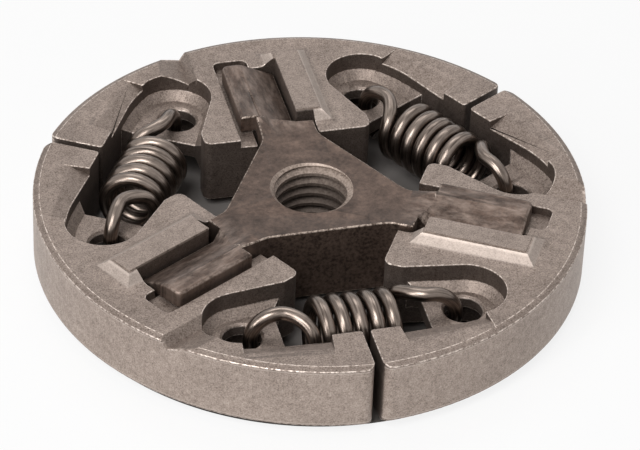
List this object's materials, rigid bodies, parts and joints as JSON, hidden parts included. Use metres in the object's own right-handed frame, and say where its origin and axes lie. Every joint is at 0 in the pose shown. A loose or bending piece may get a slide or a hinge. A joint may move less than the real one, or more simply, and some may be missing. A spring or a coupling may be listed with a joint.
{
  "type": "chainsaw clutch",
  "caption": "Centrifugal clutch for a chainsaw: a hub with a left-hand threaded bore, shoes that slide outwards on its arms and springs that pull them back.",
  "frame": {"origin": "centre of the threaded bore, at the clutch's middle plane", "axes": "+Z along the crankshaft's axis, away from the engine; +Y out along the arm of shoe_1"},
  "size_m": [0.0782, 0.0784, 0.013],
  "materials": {
    "hub_steel": "forged, oil-blackened, satin",
    "shoe_steel": "sintered, fine grain, satin",
    "spring_wire": "drawn wire, dark, oiled"
  },
  "bodies": {
    "hub": {"hub": "hub_steel", "spring_1": "spring_wire", "spring_2": "spring_wire", "spring_3": "spring_wire"},
    "shoe_1": {"shoe_1": "shoe_steel"},
    "shoe_2": {"shoe_2": "shoe_steel"},
    "shoe_3": {"shoe_3": "shoe_steel"}
  },
  "joints": [
    {"name": "shoe_1_slide", "type": "slide", "parent": "hub", "child": "shoe_1", "axis": [0, 1, 0], "range_m": [0, 0.001], "stiffness_N_per_m": 3000, "springref_m": -0.002, "deforming": ["spring_1", "spring_2"]},
    {"name": "shoe_2_slide", "type": "slide", "parent": "hub", "child": "shoe_2", "axis": [-0.866, -0.5, 0], "range_m": [0, 0.001], "stiffness_N_per_m": 3000, "springref_m": -0.002, "deforming": ["spring_2", "spring_3"]},
    {"name": "shoe_3_slide", "type": "slide", "parent": "hub", "child": "shoe_3", "axis": [0.866, -0.5, 0], "range_m": [0, 0.001], "stiffness_N_per_m": 3000, "springref_m": -0.002, "deforming": ["spring_3", "spring_1"]}
  ]
}
